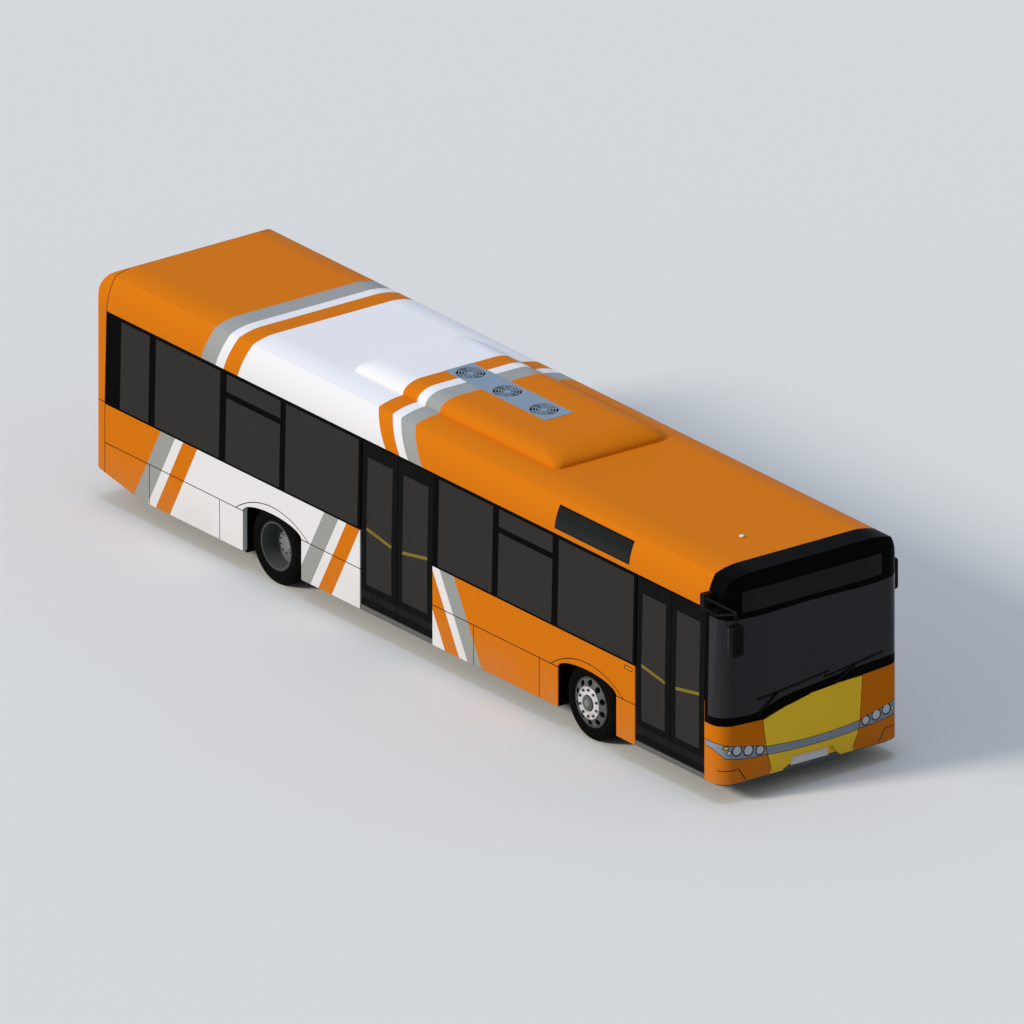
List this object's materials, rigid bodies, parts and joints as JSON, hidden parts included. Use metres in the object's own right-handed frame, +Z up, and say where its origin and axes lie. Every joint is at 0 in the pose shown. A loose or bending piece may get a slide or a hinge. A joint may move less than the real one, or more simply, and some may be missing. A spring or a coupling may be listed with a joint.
{
  "type": "airport passenger bus",
  "caption": "Low-floor airport passenger bus with inward-gliding double doors on one side, steered front wheels, twin rear wheels and a roof cooling pod.",
  "frame": {"origin": "on the ground below the middle of the whole vehicle, mirrors included", "axes": "+X forward, +Y to the bus's left, +Z up; the passenger doors are on -Y"},
  "size_m": [12.24, 2.9, 2.922],
  "materials": {
    "body_paint": "gloss white with orange and grey stripes",
    "mask_paint": "gloss black moulding",
    "flap_paint": "gloss yellow",
    "glazing": "tinted",
    "lamp_lens": "clear lens",
    "tail_lens": "red lens",
    "tyre_rubber": "matt black",
    "wheel_steel": "silver grey",
    "chassis_steel": "satin black",
    "door_frame": "satin black",
    "floor_covering": "speckled vinyl",
    "housing_panel": "grey",
    "seat_shell": "blue cloth",
    "cab_trim": "dark grey",
    "rail_steel": "yellow",
    "mirror_shell": "black",
    "pod_cover": "gloss white",
    "sill_metal": "brushed",
    "engine_metal": "painted",
    "lamp_bezel": "grey moulding",
    "marker_lens": "amber lens",
    "display_screen": "black panel",
    "plate_sheet": "white, blank",
    "seat_cloth": "black cloth",
    "fan_cover": "blue-grey",
    "guard_metal": "satin"
  },
  "bodies": {
    "body": {"floor": "floor_covering", "wheel_housings": "housing_panel", "wall_right": "body_paint", "wall_left": "body_paint", "roof_shell": "body_paint", "front_mask": "mask_paint", "headlamps": "lamp_lens", "windscreen": "glazing", "display_glass": "glazing", "side_glass_right": "glazing", "side_glass_left": "glazing", "rear_wall": "body_paint", "rear_glass": "glazing", "tail_lamps": "tail_lens", "aircon_pod": "pod_cover", "fan_guards": "guard_metal", "mirrors": "mirror_shell", "wipers": "mirror_shell", "door_headers": "sill_metal", "door_sills": "sill_metal", "seats": "seat_shell", "driver_cab": "cab_trim", "driver_seat": "seat_cloth", "lamp_panels": "lamp_bezel", "side_display": "display_screen", "side_markers": "marker_lens", "fan_panel": "fan_cover", "steering_wheel": "cab_trim", "handrails": "rail_steel", "engine_block": "engine_metal", "front_axle": "chassis_steel", "rear_axle": "chassis_steel"},
    "front_flap": {"front_flap": "flap_paint", "number_plate": "plate_sheet"},
    "engine_hatch": {"engine_hatch": "body_paint"},
    "knuckle_left": {"knuckle_left": "chassis_steel"},
    "wheel_front_left": {"tyre_front_left": "tyre_rubber", "rim_front_left": "wheel_steel"},
    "wheels_rear_left": {"tyres_rear_left": "tyre_rubber", "rims_rear_left": "wheel_steel"},
    "knuckle_right": {"knuckle_right": "chassis_steel"},
    "wheel_front_right": {"tyre_front_right": "tyre_rubber", "rim_front_right": "wheel_steel"},
    "wheels_rear_right": {"tyres_rear_right": "tyre_rubber", "rims_rear_right": "wheel_steel"},
    "door_arm_middle_rear": {"door_arm_middle_rear": "door_frame"},
    "door_middle_rear": {"door_middle_rear": "door_frame", "door_glass_middle_rear": "glazing"},
    "door_arm_middle_front": {"door_arm_middle_front": "door_frame"},
    "door_middle_front": {"door_middle_front": "door_frame", "door_glass_middle_front": "glazing"},
    "door_arm_front_rear": {"door_arm_front_rear": "door_frame"},
    "door_front_rear": {"door_front_rear": "door_frame", "door_glass_front_rear": "glazing"},
    "door_arm_front_front": {"door_arm_front_front": "door_frame"},
    "door_front_front": {"door_front_front": "door_frame", "door_glass_front_front": "glazing"}
  },
  "joints": [
    {"name": "front_flap_hinge", "type": "hinge", "parent": "body", "child": "front_flap", "pos_m": [5.681, 0, 1.15], "axis": [0, -1, 0], "range_deg": [0, 75]},
    {"name": "engine_hatch_hinge", "type": "hinge", "parent": "body", "child": "engine_hatch", "pos_m": [-6.114, 0, 1.366], "axis": [0, 1, 0], "range_deg": [0, 80]},
    {"name": "steer_left", "type": "hinge", "parent": "body", "child": "knuckle_left", "pos_m": [3.135, 0.85, 0.455], "axis": [0, 0, 1], "range_deg": [-35, 35]},
    {"name": "wheel_front_left_spin", "type": "hinge", "parent": "knuckle_left", "child": "wheel_front_left", "pos_m": [3.135, 1.088, 0.455], "axis": [0, 1, 0], "continuous": true},
    {"name": "wheels_rear_left_spin", "type": "hinge", "parent": "body", "child": "wheels_rear_left", "pos_m": [-2.765, 0.93, 0.455], "axis": [0, 1, 0], "continuous": true},
    {"name": "steer_right", "type": "hinge", "parent": "body", "child": "knuckle_right", "pos_m": [3.135, -0.85, 0.455], "axis": [0, 0, 1], "range_deg": [-35, 35]},
    {"name": "wheel_front_right_spin", "type": "hinge", "parent": "knuckle_right", "child": "wheel_front_right", "pos_m": [3.135, -1.088, 0.455], "axis": [0, 1, 0], "continuous": true},
    {"name": "wheels_rear_right_spin", "type": "hinge", "parent": "body", "child": "wheels_rear_right", "pos_m": [-2.765, -0.93, 0.455], "axis": [0, 1, 0], "continuous": true},
    {"name": "door_arm_middle_rear_turn", "type": "hinge", "parent": "body", "child": "door_arm_middle_rear", "pos_m": [-1.158, -1.164, 0.3], "axis": [0, 0, 1], "range_deg": [0, 78]},
    {"name": "door_middle_rear_turn", "type": "hinge", "parent": "door_arm_middle_rear", "child": "door_middle_rear", "pos_m": [-0.8165, -1.164, 0.3], "axis": [0, 0, 1], "range_deg": [-156, 0]},
    {"name": "door_arm_middle_front_turn", "type": "hinge", "parent": "body", "child": "door_arm_middle_front", "pos_m": [0.278, -1.164, 0.3], "axis": [0, 0, -1], "range_deg": [0, 78]},
    {"name": "door_middle_front_turn", "type": "hinge", "parent": "door_arm_middle_front", "child": "door_middle_front", "pos_m": [-0.0635, -1.164, 0.3], "axis": [0, 0, -1], "range_deg": [-156, 0]},
    {"name": "door_arm_front_rear_turn", "type": "hinge", "parent": "body", "child": "door_arm_front_rear", "pos_m": [3.992, -1.164, 0.3], "axis": [0, 0, 1], "range_deg": [0, 78]},
    {"name": "door_front_rear_turn", "type": "hinge", "parent": "door_arm_front_rear", "child": "door_front_rear", "pos_m": [4.31925, -1.164, 0.3], "axis": [0, 0, 1], "range_deg": [-156, 0]},
    {"name": "door_arm_front_front_turn", "type": "hinge", "parent": "body", "child": "door_arm_front_front", "pos_m": [5.371, -1.164, 0.3], "axis": [0, 0, -1], "range_deg": [0, 78]},
    {"name": "door_front_front_turn", "type": "hinge", "parent": "door_arm_front_front", "child": "door_front_front", "pos_m": [5.04375, -1.164, 0.3], "axis": [0, 0, -1], "range_deg": [-156, 0]}
  ],
  "couplings": [
    {"joint": "steer_right", "follows": "steer_left", "ratio": 1},
    {"joint": "door_middle_rear_turn", "follows": "door_arm_middle_rear_turn", "ratio": -2},
    {"joint": "door_middle_front_turn", "follows": "door_arm_middle_front_turn", "ratio": -2},
    {"joint": "door_front_rear_turn", "follows": "door_arm_front_rear_turn", "ratio": -2},
    {"joint": "door_front_front_turn", "follows": "door_arm_front_front_turn", "ratio": -2}
  ]
}
